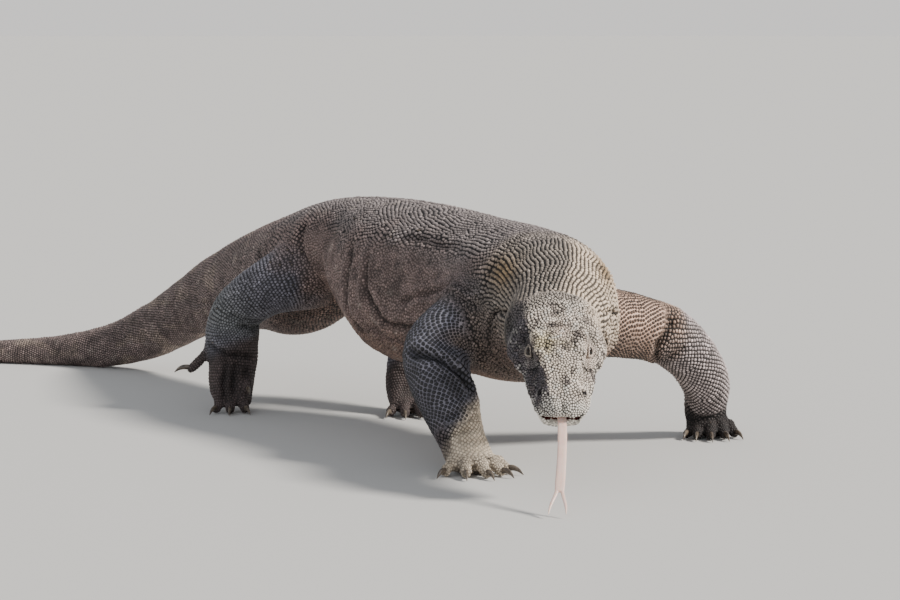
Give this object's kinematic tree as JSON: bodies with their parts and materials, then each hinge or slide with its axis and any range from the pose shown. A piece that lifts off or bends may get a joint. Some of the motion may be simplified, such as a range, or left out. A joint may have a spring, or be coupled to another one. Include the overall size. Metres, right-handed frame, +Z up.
{
  "type": "komodo dragon",
  "caption": "Komodo dragon at life size, a still museum model walking with its head low and turned to its right, forked tongue out, and long tail laid on the floor.",
  "frame": {"origin": "on the floor, under the middle of the bounding box", "axes": "+Z up from the floor; the head lies towards -Y, the tail towards +Y, and the animal's right side towards -X"},
  "size_m": [0.9408, 2.6121, 0.4023],
  "materials": {
    "body_hide": "matte",
    "tail_hide": "matte",
    "head_hide": "matte",
    "limb_hide": "matte",
    "eye": "glossy",
    "tongue": "satin",
    "claw": "satin"
  },
  "bodies": {
    "root": {"neck": "body_hide", "chest": "body_hide", "belly": "body_hide", "hips": "body_hide", "tail_base": "tail_hide", "tail_middle": "tail_hide", "tail_end": "tail_hide", "tail_tip": "tail_hide", "head": "head_hide", "lower_jaw": "head_hide", "upper_arm_right": "limb_hide", "forearm_right": "limb_hide", "hand_right": "limb_hide", "upper_arm_left": "limb_hide", "forearm_left": "limb_hide", "hand_left": "limb_hide", "thigh_right": "limb_hide", "shin_right": "limb_hide", "foot_right": "limb_hide", "thigh_left": "limb_hide", "shin_left": "limb_hide", "foot_left": "limb_hide", "eye_right": "eye", "eye_left": "eye", "tongue": "tongue", "claw_arm_right_1": "claw", "claw_arm_right_2": "claw", "claw_arm_right_3": "claw", "claw_arm_right_4": "claw", "claw_arm_right_5": "claw", "claw_arm_left_1": "claw", "claw_arm_left_2": "claw", "claw_arm_left_3": "claw", "claw_arm_left_4": "claw", "claw_arm_left_5": "claw", "claw_leg_right_1": "claw", "claw_leg_right_2": "claw", "claw_leg_right_3": "claw", "claw_leg_right_4": "claw", "claw_leg_right_5": "claw", "claw_leg_left_1": "claw", "claw_leg_left_2": "claw", "claw_leg_left_3": "claw", "claw_leg_left_4": "claw", "claw_leg_left_5": "claw"}
  },
  "joints": []
}
